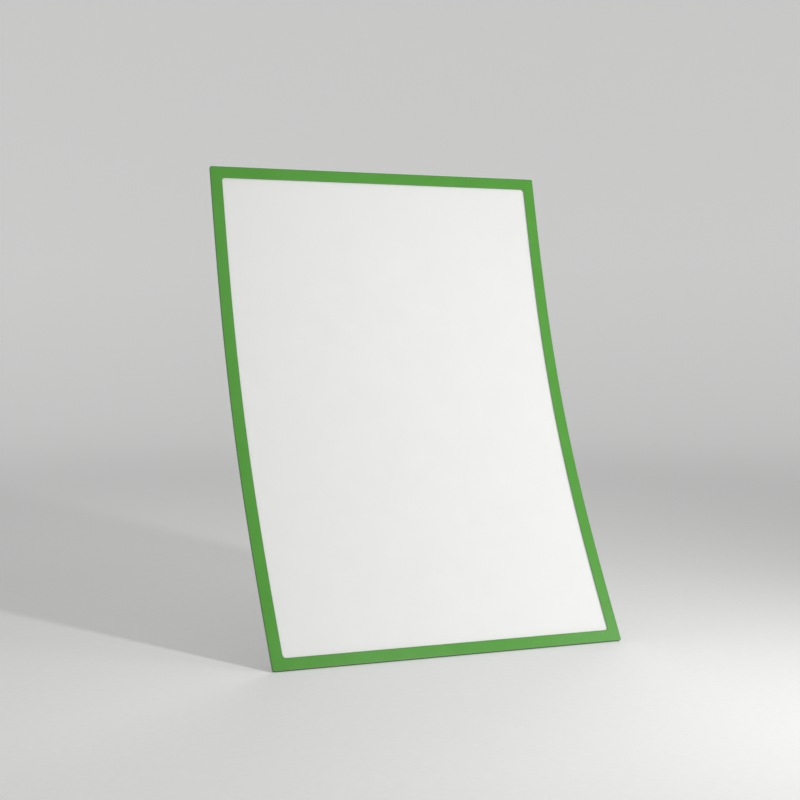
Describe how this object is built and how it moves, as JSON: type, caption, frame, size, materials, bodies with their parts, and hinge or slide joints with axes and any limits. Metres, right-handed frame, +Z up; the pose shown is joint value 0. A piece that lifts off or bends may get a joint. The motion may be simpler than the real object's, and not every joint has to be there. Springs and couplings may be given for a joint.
{
  "type": "magnetic display pocket",
  "caption": "Flat flexible display pocket for one portrait sheet: a framed clear front leaf that opens on a top film hinge, and a clear back panel with magnets round its edge, bent as it leans.",
  "frame": {"origin": "middle of the flat seat on the bottom rear magnet, where the pocket is held on steel", "axes": "+Z up, +X to the viewer's right along the straight edges, -Y out of the front towards the viewer"},
  "size_m": [0.22, 0.1173, 0.2861],
  "materials": {
    "back_film": "satin",
    "magnet_rubber": "matte",
    "keeper_steel": "satin",
    "insert_paper": "matte",
    "hinge_film": "satin",
    "window_film": "satin",
    "frame_green": "satin"
  },
  "bodies": {
    "back_panel": {"back_sheet": "back_film", "rear_magnet_bottom": "magnet_rubber", "rear_magnet_top": "magnet_rubber", "rear_magnet_left": "magnet_rubber", "rear_magnet_right": "magnet_rubber", "keeper_strip_bottom": "keeper_steel", "keeper_strip_left": "keeper_steel", "keeper_strip_right": "keeper_steel", "hinge_film": "hinge_film"},
    "front_leaf": {"front_frame": "frame_green", "window_film": "window_film", "closing_magnet_bottom": "magnet_rubber", "closing_magnet_left": "magnet_rubber", "closing_magnet_right": "magnet_rubber"},
    "insert": {"insert_sheet": "insert_paper"}
  },
  "joints": [
    {"name": "leaf_hinge", "type": "hinge", "parent": "back_panel", "child": "front_leaf", "pos_m": [0, 0.11317, 0.28286], "axis": [-1, 0, 0], "range_deg": [0, 165], "deforming": ["hinge_film"]},
    {"name": "insert_slide", "type": "slide", "parent": "back_panel", "child": "insert", "axis": [1, 0, 0], "range_m": [0, 0.215]}
  ]
}
